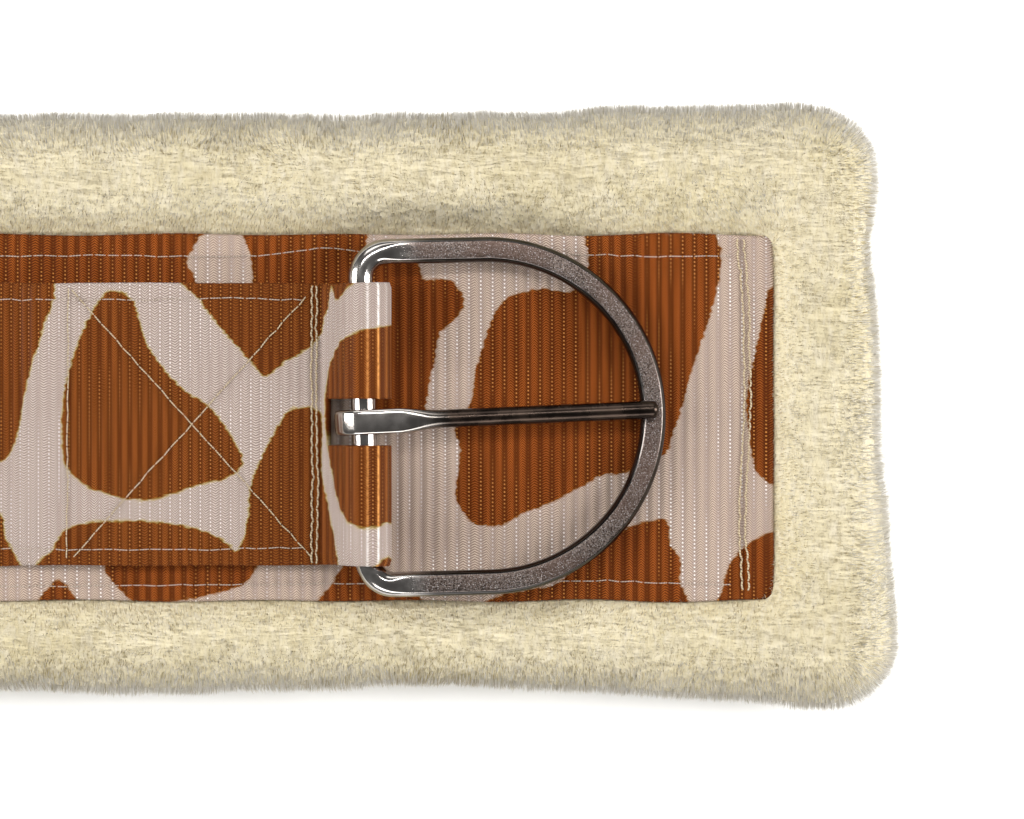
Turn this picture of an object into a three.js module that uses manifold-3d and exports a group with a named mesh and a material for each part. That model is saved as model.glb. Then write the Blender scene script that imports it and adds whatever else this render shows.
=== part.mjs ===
// A Western saddle girth (cinch), 30 inches from buckle to buckle, lying flat.
//
// A fleece cover wraps a felt core. A wide ribbed webbing is sewn on its face, and a narrower strap is sewn
// along that. Each end of the strap turns round the bar of a D-shaped buckle and is sewn back under itself,
// with a box and a cross. A short cross strap at the middle holds two dee rings.
//
// Frame: millimetres, +Z up, origin at the middle of the fleece's underside. +X runs along the girth and
// +Y across it. The left end mirrors the right end.

import * as THREE from "three";
import { mergeVertices } from "three/addons/utils/BufferGeometryUtils.js";
import Module from "manifold-3d";

const wasm = await Module();
wasm.setup();

const GAP = 0.3; // kept between pieces that touch

// Fleece cover and felt core
const FLEECE = { length: 882, width: 162, height: 31, corner: 20, edge: 12 };
const PILE = 9; // fleece under the core
const CORE = { length: 862, width: 142, thickness: 6.7 };
const FLANGE = 9; // how far the fleece is turned in under the webbing

// Base webbing, with its ends turned under
const BASE = { length: 821.6, width: 100, thickness: 2.4, y: -2.6, turned: 26 };
const BASE_TOP = 23.4;

// Main strap
const STRAP = { width: 76.6, thickness: 2.2, y: -4.4 };
const BAR = { x: 299, y: -2.9, z: 32, radius: 3.4 }; // middle of the buckle's bar
const FOLD_RADIUS = 5.4; // inside the strap where it turns round the bar
const LEG_END = 215; // where the turned-under leg of the strap stops
const LEG_RAMP = 13; // over how far the strap drops off the leg's end
const BAR_TACK_X = 285.4; // stitching next to the buckle
const SLOT = { start: 289.3, width: 12.6 }; // lets the tongue through the fold

// Buckle
const FRAME = { halfHeight: 45, corner: 7.2, arcCentre: 33.5, halfWidth: 3.4, halfThickness: 3 };
const TONGUE = { y: -0.9, curlInner: 3.8, curlOuter: 8, curlWidth: 6.8, shank: 2.4, length: 79.5 };
const BUCKLE_TILT = THREE.MathUtils.degToRad(3.85); // the frame's tip rests on the webbing
const BUCKLE_SKEW = THREE.MathUtils.degToRad(1.4); // it lies a little askew in the fold
const TONGUE_SKEW = THREE.MathUtils.degToRad(1.1);

// Cross strap and dee rings at the middle
const CROSS = { width: 36, thickness: 2, loopInner: 2.75, leg: 9 };
const DEE = { wire: 2.25, halfWidth: 21.5, barOffset: 40.5, straight: 9, z: 29.4 };
const DEE_NOTCH = { width: 56, floor: 25.4 };

// Thread
const THREAD = { width: 0.9, height: 0.6 };
const BASE_SEAM = { back: 6, front: 3.6 }; // in from the webbing's edges
const STRAP_SEAM = 4.6; // in from the strap's edges
const END_SEAM = { x: 402.4, spread: 2.6 };
const BOX_X = 218.5; // the box's far side; its near side is the bar tack

const COLOURS = {
  fleece: { color: 0xded2a8, roughness: 0.95, metalness: 0 },
  felt: { color: 0xb9b4a8, roughness: 1, metalness: 0 },
  webbing: { color: 0xa5561f, roughness: 0.6, metalness: 0 },
  strap: { color: 0xcabfb4, roughness: 0.55, metalness: 0 },
  thread: { color: 0xd9cdb2, roughness: 0.7, metalness: 0 },
  steel: { color: 0x8d8d8f, roughness: 0.25, metalness: 1 },
};
const materials = Object.fromEntries(
  Object.entries(COLOURS).map(([name, look]) => [name, new THREE.MeshStandardMaterial({ name, ...look })]),
);

// ---------------------------------------------------------------- solids

// A closed geometry as a solid that can be added to and cut.
function solid(geometry) {
  const bare = new THREE.BufferGeometry();
  const source = geometry.index ? geometry.toNonIndexed() : geometry;
  bare.setAttribute("position", source.getAttribute("position"));
  const merged = mergeVertices(bare, 1e-4);
  return new wasm.Manifold(
    new wasm.Mesh({
      numProp: 3,
      vertProperties: merged.attributes.position.array,
      triVerts: new Uint32Array(merged.index.array),
    }),
  );
}

// Such a solid back as a geometry.
function geometryOf(made) {
  const mesh = made.getMesh();
  const geometry = new THREE.BufferGeometry();
  geometry.setAttribute("position", new THREE.BufferAttribute(mesh.vertProperties, 3));
  geometry.setIndex(new THREE.BufferAttribute(mesh.triVerts, 1));
  geometry.computeVertexNormals();
  return geometry;
}

function namedMesh(name, geometry, look) {
  const mesh = new THREE.Mesh(geometry, materials[look]);
  mesh.name = name;
  return mesh;
}

function boxBetween([x0, y0, z0], [x1, y1, z1]) {
  const box = new THREE.BoxGeometry(x1 - x0, y1 - y0, z1 - z0);
  return box.translate((x0 + x1) / 2, (y0 + y1) / 2, (z0 + z1) / 2);
}

// An outline drawn in X and Z, given its width along Y about the line y.
function acrossY(shape, width, y) {
  const made = new THREE.ExtrudeGeometry(shape, { depth: width, bevelEnabled: false });
  return made.rotateX(Math.PI / 2).translate(0, y + width / 2, 0);
}

// An outline drawn in Y and Z, given its width along X about x = 0.
function acrossX(shape, width) {
  const made = new THREE.ExtrudeGeometry(shape, { depth: width, bevelEnabled: false });
  const turn = new THREE.Matrix4().makeBasis(
    new THREE.Vector3(0, 1, 0),
    new THREE.Vector3(0, 0, 1),
    new THREE.Vector3(1, 0, 0),
  );
  return made.applyMatrix4(turn).translate(-width / 2, 0, 0);
}

// The outline of a strip of the given thickness whose middle follows the points.
function stripOutline(points, thickness) {
  const side = (offset) =>
    points.map((p, i) => {
      const before = points[Math.max(i - 1, 0)];
      const after = points[Math.min(i + 1, points.length - 1)];
      const along = after.clone().sub(before).normalize();
      return new THREE.Vector2(p.x - along.y * offset, p.y + along.x * offset);
    });
  return new THREE.Shape([...side(thickness / 2), ...side(-thickness / 2).reverse()]);
}

// Points of a smooth rise or fall between two levels.
function easePoints(from, to, steps) {
  const bend = new THREE.CubicBezierCurve(
    from,
    new THREE.Vector2((from.x + to.x) / 2, from.y),
    new THREE.Vector2((from.x + to.x) / 2, to.y),
    to,
  );
  return bend.getPoints(steps);
}

function arcPoints(centre, radius, start, end, steps) {
  return Array.from({ length: steps + 1 }, (_, i) => {
    const angle = THREE.MathUtils.degToRad(start + ((end - start) * i) / steps);
    return new THREE.Vector2(centre.x + radius * Math.cos(angle), centre.y + radius * Math.sin(angle));
  });
}

// Half of a strip's middle line, joined to its own mirror image about x = 0.
function withMirror(half) {
  const other = half.map((p) => new THREE.Vector2(-p.x, p.y)).reverse();
  return [...other, ...half.filter((p) => p.x > 1e-6)];
}

// ---------------------------------------------------------------- pad

const coreBottom = PILE + GAP;
const coreTop = coreBottom + CORE.thickness;
const baseBottom = BASE_TOP - BASE.thickness;

function fleeceCover() {
  const halfLength = FLEECE.length / 2 - FLEECE.edge;
  const halfWidth = FLEECE.width / 2 - FLEECE.edge;
  const corner = FLEECE.corner - FLEECE.edge;
  const outline = new THREE.Shape();
  outline.moveTo(halfLength - corner, -halfWidth);
  outline.absarc(halfLength - corner, -halfWidth + corner, corner, -Math.PI / 2, 0);
  outline.absarc(halfLength - corner, halfWidth - corner, corner, 0, Math.PI / 2);
  outline.absarc(-halfLength + corner, halfWidth - corner, corner, Math.PI / 2, Math.PI);
  outline.absarc(-halfLength + corner, -halfWidth + corner, corner, Math.PI, 1.5 * Math.PI);
  const slab = new THREE.ExtrudeGeometry(outline, {
    depth: FLEECE.height - 2 * FLEECE.edge,
    bevelThickness: FLEECE.edge,
    bevelSize: FLEECE.edge,
    bevelSegments: 5,
    curveSegments: 6,
  }).translate(0, 0, FLEECE.edge);

  const top = FLEECE.height + 1;
  const seat = { x: BASE.length / 2 + GAP, y: BASE.width / 2 + GAP };
  const centred = (x, low, high, z0, z1) => boxBetween([-x, low, z0], [x, high, z1]);
  const cuts = [
    centred(seat.x, BASE.y - seat.y, BASE.y + seat.y, baseBottom - GAP, top),
    centred(CORE.length / 2 + GAP, -CORE.width / 2 - GAP, CORE.width / 2 + GAP, PILE, coreTop + GAP),
    centred(seat.x - FLANGE - BASE.turned, BASE.y - seat.y + FLANGE, BASE.y + seat.y - FLANGE, PILE + 1, top),
    centred(DEE_NOTCH.width / 2, -FLEECE.width, FLEECE.width, DEE_NOTCH.floor, top),
  ];
  for (const end of [-1, 1]) {
    const [near, far] = [seat.x - BASE.turned - GAP, seat.x].map((x) => x * end).sort((a, b) => a - b);
    const floor = baseBottom - BASE.thickness - 2 * GAP;
    cuts.push(boxBetween([near, BASE.y - seat.y, floor], [far, BASE.y + seat.y, top]));
  }
  const cut = cuts.reduce((left, piece) => left.subtract(solid(piece)), solid(slab));
  return namedMesh("fleece_cover", geometryOf(cut), "fleece");
}

function feltCore() {
  const half = [CORE.length / 2, CORE.width / 2];
  const box = boxBetween([-half[0], -half[1], coreBottom], [half[0], half[1], coreTop]);
  return namedMesh("felt_core", box, "felt");
}

// The wide webbing: one run on top, with each end turned under itself.
function baseWebbing() {
  const middle = baseBottom + BASE.thickness / 2;
  const foldRadius = (BASE.thickness + GAP) / 2;
  const foldCentre = new THREE.Vector2(BASE.length / 2 - foldRadius - BASE.thickness / 2, middle - foldRadius);
  const half = [
    new THREE.Vector2(0, middle),
    ...arcPoints(foldCentre, foldRadius, 90, -90, 8),
    new THREE.Vector2(BASE.length / 2 - BASE.turned, middle - 2 * foldRadius),
  ];
  const outline = stripOutline(withMirror(half), BASE.thickness);
  return namedMesh("base_webbing", acrossY(outline, BASE.width, BASE.y), "webbing");
}

// ---------------------------------------------------------------- main strap

const strapLevel = {
  leg: BASE_TOP + GAP + STRAP.thickness / 2,
  top: BASE_TOP + 2 * GAP + STRAP.thickness * 1.5,
};

// The middle line of the strap's right half: along the top, round the bar, and back under as the leg.
function strapMiddle() {
  const rise = (x0, z0, x1, z1, steps) => easePoints(new THREE.Vector2(x0, z0), new THREE.Vector2(x1, z1), steps);
  const turn = FOLD_RADIUS + STRAP.thickness / 2;
  const legJoin = BAR.x - 10;
  return [
    new THREE.Vector2(0, strapLevel.leg),
    ...rise(LEG_END - LEG_RAMP, strapLevel.leg, LEG_END - 2, strapLevel.top, 5),
    ...rise(BAR_TACK_X + 0.5, strapLevel.top, BAR.x, BAR.z + turn, 9).slice(0, -1),
    ...arcPoints(new THREE.Vector2(BAR.x, BAR.z), turn, 90, -90, 14),
    ...rise(BAR.x, BAR.z - turn, legJoin, strapLevel.leg, 4).slice(1),
    new THREE.Vector2(LEG_END, strapLevel.leg),
  ];
}

function mainStrap() {
  const outline = stripOutline(withMirror(strapMiddle()), STRAP.thickness);
  const strip = solid(acrossY(outline, STRAP.width, STRAP.y));
  const slotY = BAR.y + TONGUE.y;
  const reach = BAR.x + FOLD_RADIUS + STRAP.thickness + 1;
  const cut = [-1, 1].reduce((left, end) => {
    const [near, far] = [SLOT.start * end, reach * end].sort((a, b) => a - b);
    const low = [near, slotY - SLOT.width / 2, BASE_TOP];
    const high = [far, slotY + SLOT.width / 2, BAR.z + 12];
    return left.subtract(solid(boxBetween(low, high)));
  }, strip);
  return namedMesh("main_strap", geometryOf(cut), "strap");
}

// ---------------------------------------------------------------- buckle

// A closed loop of metal. Each stop gives a point, the direction of travel there, and how flat its section is.
function sweptLoop(stops, sectionAt) {
  const rings = stops.map(({ point, along, flatness }) => {
    const across = new THREE.Vector2(along.y, -along.x);
    return sectionAt(flatness).map(([u, w]) => [point.x + across.x * u, point.y + across.y * u, w]);
  });
  const count = rings[0].length;
  const positions = rings.flat(2);
  const index = [];
  rings.forEach((_, i) => {
    const [here, next] = [i * count, ((i + 1) % rings.length) * count];
    for (let k = 0; k < count; k += 1) {
      const l = (k + 1) % count;
      index.push(here + k, here + l, next + k, here + l, next + l, next + k);
    }
  });
  const geometry = new THREE.BufferGeometry();
  geometry.setAttribute("position", new THREE.Float32BufferAttribute(positions, 3));
  geometry.setIndex(index);
  const volume = solid(geometry).volume();
  if (volume < 0) index.reverse();
  geometry.setIndex(index);
  geometry.computeVertexNormals();
  return geometry;
}

// Stops along part of a circle, in the plane of the loop.
function arcStops(centre, radius, start, end, steps, flatness) {
  return Array.from({ length: steps + 1 }, (_, i) => {
    const t = i / steps;
    const angle = THREE.MathUtils.degToRad(start + (end - start) * t);
    const turn = Math.sign(end - start);
    return {
      point: new THREE.Vector2(centre[0] + radius * Math.cos(angle), centre[1] + radius * Math.sin(angle)),
      along: new THREE.Vector2(-Math.sin(angle) * turn, Math.cos(angle) * turn),
      flatness: flatness(t),
    };
  });
}

// The buckle wire's section: round at the bar, with flat faces and bevelled edges round the D.
function frameSection(flatness) {
  const { halfWidth, halfThickness } = FRAME;
  const quarter = [
    [halfWidth, 0],
    [halfWidth, 1.4],
    [halfWidth - 0.4, 2.35],
    [halfWidth - 1.2, halfThickness],
  ];
  const mirrored = [...quarter].reverse().map(([u, w]) => [-u, w]);
  const flat = [...quarter, [0, halfThickness], ...mirrored];
  const lower = flat.slice(1, -1).map(([u, w]) => [-u, -w]);
  return [...flat, ...lower].map(([u, w], i) => {
    const angle = (i * Math.PI) / 8;
    const mix = (round, shaped) => round * (1 - flatness) + shaped * flatness;
    return [mix(BAR.radius * Math.cos(angle), u), mix(BAR.radius * Math.sin(angle), w)];
  });
}

function buckleFrame() {
  const { halfHeight, corner, arcCentre } = FRAME;
  const bend = halfHeight - corner;
  const round = () => 0;
  const stops = [
    ...arcStops([corner, -bend], corner, 180, 270, 6, (t) => t * t * 0.6),
    ...arcStops([arcCentre, 0], halfHeight, -90, 90, 32, () => 1),
    ...arcStops([corner, bend], corner, 90, 180, 6, (t) => (1 - t) ** 2 * 0.6),
    { point: new THREE.Vector2(0, 0), along: new THREE.Vector2(0, -1), flatness: round() },
  ];
  const arms = [-1, 1].map((side) => ({
    point: new THREE.Vector2(corner + 5, side * halfHeight),
    along: new THREE.Vector2(-side, 0),
    flatness: 1,
  }));
  stops.splice(7, 0, arms[0]);
  stops.splice(stops.length - 8, 0, arms[1]);
  return sweptLoop(stops, frameSection);
}

// The tongue: a curl round the bar, and a shank that dips and then rests on the frame's tip.
function buckleTongue() {
  const { curlInner, curlOuter, curlWidth, shank, length } = TONGUE;
  const curl = new THREE.Shape();
  curl.absarc(0, 0, curlOuter, THREE.MathUtils.degToRad(80), THREE.MathUtils.degToRad(345));
  curl.absarc(0, 0, curlInner, THREE.MathUtils.degToRad(345), THREE.MathUtils.degToRad(80), true);
  curl.closePath();
  const rest = FRAME.halfThickness + GAP + shank;
  const neckLevel = (curlInner + curlOuter) / 2;
  const line = new THREE.CatmullRomCurve3(
    [
      new THREE.Vector3(0.5, 0, neckLevel),
      new THREE.Vector3(7, 0, neckLevel - 0.3),
      new THREE.Vector3(18, 0, neckLevel - 1.2),
      new THREE.Vector3(40, 0, neckLevel - 1.5),
      new THREE.Vector3(62, 0, rest - 0.6),
      new THREE.Vector3(FRAME.arcCentre + FRAME.halfHeight - 3, 0, rest + 0.05),
      new THREE.Vector3(length, 0, rest + 0.05),
    ],
    false,
    "centripetal",
  );
  const section = (i) => {
    const x = line.getPointAt(i / 28).x;
    const neck = THREE.MathUtils.smoothstep(x, 8, 22);
    const width = THREE.MathUtils.lerp(curlWidth / 2, shank, neck);
    const depth = THREE.MathUtils.lerp((curlOuter - curlInner) / 2, shank, neck);
    return [width, depth];
  };
  const shaft = taperedRod(line, 28, 12, section);
  const both = solid(acrossY(curl, curlWidth, 0)).add(solid(shaft));
  return geometryOf(both);
}

// A rod along a curve in the X-Z plane, with closed ends and its own half width and half depth at each step.
function taperedRod(line, steps, sides, sizeAt) {
  const positions = [];
  const index = [];
  for (let i = 0; i <= steps; i += 1) {
    const p = line.getPointAt(i / steps);
    const along = line.getTangentAt(i / steps);
    const up = new THREE.Vector3(-along.z, 0, along.x);
    const [width, depth] = sizeAt(i);
    for (let k = 0; k < sides; k += 1) {
      const angle = ((k + 0.5) / sides) * 2 * Math.PI;
      const u = width * Math.cos(angle);
      const w = depth * Math.sin(angle);
      positions.push(p.x + up.x * w, p.y + u, p.z + up.z * w);
    }
  }
  for (let i = 0; i < steps; i += 1) {
    for (let k = 0; k < sides; k += 1) {
      const [a, b] = [i * sides + k, i * sides + ((k + 1) % sides)];
      index.push(a, b, a + sides, b, b + sides, a + sides);
    }
  }
  for (let k = 1; k < sides - 1; k += 1) {
    const end = steps * sides;
    index.push(0, k + 1, k, end, end + k, end + k + 1);
  }
  const geometry = new THREE.BufferGeometry();
  geometry.setAttribute("position", new THREE.Float32BufferAttribute(positions, 3));
  geometry.setIndex(index);
  if (solid(geometry).volume() < 0) {
    index.reverse();
    geometry.setIndex(index);
  }
  return geometry;
}

// One buckle on its bar, drawn for the right end.
function buckle(side) {
  const group = new THREE.Group();
  group.position.set(BAR.x, BAR.y, BAR.z);
  group.rotation.set(0, BUCKLE_TILT, BUCKLE_SKEW, "ZYX");
  group.add(namedMesh(`${side}_buckle_frame`, buckleFrame(), "steel"));
  const tongue = namedMesh(`${side}_buckle_tongue`, buckleTongue(), "steel");
  tongue.position.y = TONGUE.y;
  tongue.rotation.z = TONGUE_SKEW;
  group.add(tongue);
  return group;
}

// ---------------------------------------------------------------- cross strap and dees

const deeY = (side) => BASE.y + side * DEE.barOffset;

function crossStrap() {
  const level = BASE_TOP + 3 * GAP + STRAP.thickness + CROSS.thickness / 2 - GAP;
  const turn = CROSS.loopInner + CROSS.thickness / 2;
  const legLevel = BASE_TOP + GAP + CROSS.thickness / 2;
  const strapEdge = STRAP.width / 2 + Math.abs(STRAP.y - BASE.y);
  const half = [
    new THREE.Vector2(0, level),
    ...easePoints(
      new THREE.Vector2(DEE.barOffset - 9, level),
      new THREE.Vector2(DEE.barOffset + 5, DEE.z + turn),
      6,
    ).slice(0, -1),
    ...arcPoints(new THREE.Vector2(DEE.barOffset + 5, DEE.z), turn, 90, -90, 10),
    new THREE.Vector2(strapEdge + 1, Math.max(DEE.z - turn, legLevel)),
  ];
  const outline = stripOutline(withMirror(half), CROSS.thickness);
  const strip = acrossX(outline, CROSS.width).translate(0, BASE.y, 0);
  return namedMesh("cross_strap", strip, "strap");
}

// A dee ring lying flat, its straight side in the cross strap's loop.
function deeRing(name, side) {
  const corner = 4;
  const { halfWidth, straight, wire } = DEE;
  const circle = () =>
    Array.from({ length: 12 }, (_, k) => {
      const angle = (k * Math.PI) / 6;
      return [wire * Math.cos(angle), wire * Math.sin(angle)];
    });
  const flat = () => 0;
  const stops = [
    ...arcStops([-halfWidth + corner, corner], corner, 180, 270, 4, flat),
    ...arcStops([halfWidth - corner, corner], corner, 270, 360, 4, flat),
    ...arcStops([0, straight], halfWidth, 0, 180, 20, flat),
  ];
  const ring = namedMesh(name, sweptLoop(stops, circle), "steel");
  ring.position.set(0, deeY(side) + side * 5, DEE.z);
  if (side < 0) ring.rotation.z = Math.PI;
  return ring;
}

// ---------------------------------------------------------------- seams

// A flat run of thread between two points on a level face.
function threadRun([x0, y0], [x1, y1], z) {
  const length = Math.hypot(x1 - x0, y1 - y0);
  const run = new THREE.BoxGeometry(length + THREAD.width, THREAD.width, THREAD.height);
  run.rotateZ(Math.atan2(y1 - y0, x1 - x0));
  return run.translate((x0 + x1) / 2, (y0 + y1) / 2, z + GAP + THREAD.height / 2);
}

function seam(name, runs) {
  const joined = runs.map(solid).reduce((all, run) => all.add(run));
  return namedMesh(name, geometryOf(joined), "thread");
}

const strapTop = strapLevel.top + STRAP.thickness / 2;
const mirrored = (end, [x, y]) => [x * end, y];

// The two long seams that hold the webbing's edges to the fleece.
function baseSeams() {
  const reach = END_SEAM.x - END_SEAM.spread;
  const lines = { back: BASE.y + BASE.width / 2 - BASE_SEAM.back, front: BASE.y - BASE.width / 2 + BASE_SEAM.front };
  return Object.entries(lines).map(([side, y]) =>
    seam(`base_edge_stitch_${side}`, [threadRun([-reach, y], [reach, y], BASE_TOP)]),
  );
}

// The double row across each end of the webbing, as one closed line of stitching.
function endSeam(side, end) {
  const [x0, x1] = [END_SEAM.x - END_SEAM.spread / 2, END_SEAM.x + END_SEAM.spread / 2];
  const [y0, y1] = [BASE.y - BASE.width / 2 + 3, BASE.y + BASE.width / 2 - 4];
  const corners = [[x0, y0], [x1, y0], [x1, y1], [x0, y1]].map((p) => mirrored(end, p));
  const runs = corners.map((p, i) => threadRun(p, corners[(i + 1) % 4], BASE_TOP));
  return seam(`${side}_end_stitch`, runs);
}

// A seam along the strap follows it down off its turned-under legs.
function strapSeams() {
  const reach = BAR_TACK_X - 4;
  const lift = STRAP.thickness / 2 + GAP + THREAD.height / 2;
  const half = strapMiddle().filter((p, i) => i < 7);
  const line = [...half.map((p) => new THREE.Vector2(p.x, p.y + lift)), new THREE.Vector2(reach, strapLevel.top + lift)];
  const crossGap = CROSS.width / 2 + 1;
  return [-1, 1].flatMap((row) =>
    [-1, 1].map((end) => {
      const run = line.map((p) => new THREE.Vector2(Math.max(p.x, crossGap) * end, p.y));
      const shape = stripOutline(end < 0 ? run.reverse() : run, THREAD.height);
      const y = STRAP.y + row * (STRAP.width / 2 - STRAP_SEAM);
      const name = `strap_edge_stitch_${end < 0 ? "left" : "right"}_${row < 0 ? "front" : "back"}`;
      return namedMesh(name, acrossY(shape, THREAD.width, y), "thread");
    }),
  );
}

// The box's far side and its cross, which hold the strap's turned-under leg.
function boxSeam(side, end) {
  const half = STRAP.width / 2 - STRAP_SEAM - 2 * THREAD.width;
  const [x0, x1] = [BOX_X, BAR_TACK_X - 4];
  const [y0, y1] = [STRAP.y - half, STRAP.y + half];
  const lines = [
    [[x0, y0], [x0, y1]],
    [[x0, y0], [x1, y1]],
    [[x0, y1], [x1, y0]],
  ];
  const runs = lines.map(([a, b]) => threadRun(mirrored(end, a), mirrored(end, b), strapTop));
  return seam(`${side}_box_stitch`, runs);
}

// The heavy double row next to the buckle, as one closed line of stitching.
function barTack(side, end) {
  const half = STRAP.width / 2 - 1.5;
  const [x0, x1] = [BAR_TACK_X - 1.3, BAR_TACK_X + 0.3];
  const [y0, y1] = [STRAP.y - half, STRAP.y + half];
  const corners = [[x0, y0], [x1, y0], [x1, y1], [x0, y1]].map((p) => mirrored(end, p));
  const runs = corners.map((p, i) => threadRun(p, corners[(i + 1) % 4], strapTop));
  return seam(`${side}_bar_tack`, runs);
}

// A square of stitching at each end of the cross strap.
function crossSeam(name, side) {
  const top = BASE_TOP + 2 * GAP + STRAP.thickness + CROSS.thickness;
  const half = CROSS.width / 2 - 3;
  const [near, far] = [BASE.y + side * 12, BASE.y + side * 30];
  const corners = [[-half, near], [half, near], [half, far], [-half, far]];
  return seam(name, corners.map((p, i) => threadRun(p, corners[(i + 1) % 4], top)));
}

// ---------------------------------------------------------------- assembly

const girth = new THREE.Group();
girth.name = "saddle_girth";
girth.add(fleeceCover(), feltCore(), baseWebbing(), mainStrap(), crossStrap());
girth.add(deeRing("back_dee_ring", 1), deeRing("front_dee_ring", -1));
girth.add(...baseSeams(), ...strapSeams(), crossSeam("cross_stitch_back", 1), crossSeam("cross_stitch_front", -1));
for (const [side, end] of [["right", 1], ["left", -1]]) {
  const mirror = new THREE.Group();
  mirror.scale.x = end;
  mirror.add(buckle(side));
  girth.add(mirror, endSeam(side, end), boxSeam(side, end), barTack(side, end));
}

export default girth;
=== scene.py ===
# The saddle girth's looks: a fleece pad, two printed ribbed webbings, their seams, and the steel buckles.
# Lengths are in millimetres and become metres where a mesh is made.

import math

import bpy
import numpy as np
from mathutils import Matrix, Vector


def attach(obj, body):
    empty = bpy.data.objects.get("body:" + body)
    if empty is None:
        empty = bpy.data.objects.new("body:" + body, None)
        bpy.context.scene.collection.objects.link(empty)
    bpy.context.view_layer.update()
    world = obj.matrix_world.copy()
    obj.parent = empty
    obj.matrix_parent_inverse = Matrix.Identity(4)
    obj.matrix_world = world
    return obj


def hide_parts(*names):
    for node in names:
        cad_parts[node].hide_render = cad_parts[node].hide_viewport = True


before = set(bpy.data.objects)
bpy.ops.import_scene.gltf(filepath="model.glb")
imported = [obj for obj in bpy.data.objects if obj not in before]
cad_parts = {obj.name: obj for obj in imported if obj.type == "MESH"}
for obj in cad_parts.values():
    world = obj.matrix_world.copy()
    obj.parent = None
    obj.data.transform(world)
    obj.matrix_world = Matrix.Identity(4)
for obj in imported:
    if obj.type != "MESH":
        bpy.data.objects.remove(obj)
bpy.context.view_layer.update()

MM = 0.001
GAP = 0.3  # between two layers of cloth

# "y" is where a piece's middle lies across the girth: the webbings aren't quite centred on the pad.
BASE = {"length": 821.6, "width": 100.0, "thick": 2.4, "y": -2.6, "turned": 26.0, "top": 23.4, "pitch": 3.24}
STRAP = {"width": 76.6, "thick": 2.2, "y": -4.4, "pitch": 2.74, "leg_end": 215.0, "ramp": 13.0, "turn": 5.4}
BAR = {"x": 299.0, "y": -2.9, "z": 32.0, "r": 3.4}
TILT, SKEW, TONGUE_SKEW = math.radians(3.85), math.radians(1.4), math.radians(1.1)
TACK_X = 285.4
SLOT = {"start": 289.3, "width": 12.6, "y": BAR["y"] - 0.9}
HOOP = {"half": 45.0, "corner": 7.2, "centre": 33.5}
CROSS = {"width": 36.0, "thick": 2.0, "y": 40.5, "inner": 2.75}
DEE = {"wire": 2.25, "half": 21.5, "straight": 9.0, "z": 29.4, "corner": 4.0}
CROSS_END = CROSS["y"] + 5  # from the girth's middle line to each ring's straight side

# Heights of the middle of each layer's thickness.
BASE_MIDDLE = BASE["top"] - BASE["thick"] / 2
LEG_MIDDLE = BASE["top"] + GAP + STRAP["thick"] / 2
STRAP_MIDDLE = BASE["top"] + 2 * GAP + STRAP["thick"] * 1.5

HALF_X, HALF_Y, PAD_CORNER = 441.0, 81.0, 17.0
ENDS, SIDES = ((1, "right"), (-1, "left")), ((1, "back"), (-1, "front"))
PILE_ROOM = 1.9  # from the cloth to the tips of its pile

CELL, NET = 57.0, 11.0  # the invented print: its cells, and the pale net between them
CELLS_REACH = 260.0
DRAWN_FROM = 192.0, 199.0  # from here out to each end the patches are drawn one by one

# The inner tone is painted light: lighter fibres on the slope down to the webbing, to lift the shade there.
PILE_TONES = {"pale": (224, 220, 212), "cream": (191, 178, 145), "warm": (191, 176, 130),
              "shade": (190, 182, 158), "inner": (238, 227, 198)}
PALE, CREAM, WARM, SHADE, INNER_LIT = range(len(PILE_TONES))


# ---- mesh helpers

def fade(x, low, high):
    """From 0 at low to 1 at high, smoothly."""
    t = np.clip((np.asarray(x, float) - low) / (high - low), 0.0, 1.0)
    return t * t * (3.0 - 2.0 * t)


def ripple(x, y, scale, seed):
    """Smooth wandering numbers between about -1 and 1, over a surface."""
    r = np.random.default_rng(seed)
    waves, largest = 6, 3.2
    total = 0.0
    for _ in range(waves):
        angle, phase, stretch = r.uniform(0, 2 * math.pi), r.uniform(0, 6.28), r.uniform(0.6, 1.7)
        run = x * math.cos(angle) + y * math.sin(angle)
        total = total + np.sin(run * stretch * 2 * math.pi / scale + phase)
    return total / largest


def unit(vectors, least=1e-9):
    """The vectors at length 1."""
    return vectors / np.maximum(np.linalg.norm(vectors, axis=-1, keepdims=True), least)


def add_object(name, data):
    ob = bpy.data.objects.new(name, data)
    bpy.context.scene.collection.objects.link(ob)
    return ob


def make(name, verts, faces, materials, body="girth", tones=None):
    """A mesh piece from an array of points in millimetres and an array of faces of one size."""
    me = bpy.data.meshes.new(name)
    faces = np.asarray(faces, np.int32)
    me.vertices.add(len(verts))
    me.vertices.foreach_set("co", (np.asarray(verts, np.float32) * MM).ravel())
    me.loops.add(faces.size)
    me.loops.foreach_set("vertex_index", faces.ravel())
    me.polygons.add(len(faces))
    me.polygons.foreach_set("loop_start", np.arange(0, faces.size, faces.shape[1], dtype=np.int32))
    me.update(calc_edges=True)
    for m in materials:
        me.materials.append(m)
    if tones is not None:
        me.polygons.foreach_set("material_index", np.asarray(tones, np.int32))
    me.polygons.foreach_set("use_smooth", np.ones(len(faces), bool))
    ob = add_object(name, me)
    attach(ob, body)
    return ob


def point_values(ob, name, values):
    """Numbers or vectors at a piece's points, for its material to read."""
    kind = "FLOAT" if values.ndim == 1 else "FLOAT_VECTOR"
    held = ob.data.attributes.new(name, kind, "POINT")
    held.data.foreach_set("value" if values.ndim == 1 else "vector", values.astype(np.float32).ravel())


def loop_faces(rings, around, closed=False):
    """Quads between rings of points, each ring closed on itself; closed joins the last ring to the first."""
    r = np.arange(rings if closed else rings - 1)[:, None]
    k = np.arange(around)[None, :]
    here, there = r * around, ((r + 1) % rings) * around
    nxt = (k + 1) % around
    quads = np.stack(np.broadcast_arrays(here + k, here + nxt, there + nxt, there + k), -1)
    return quads.reshape(-1, 4)


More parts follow.
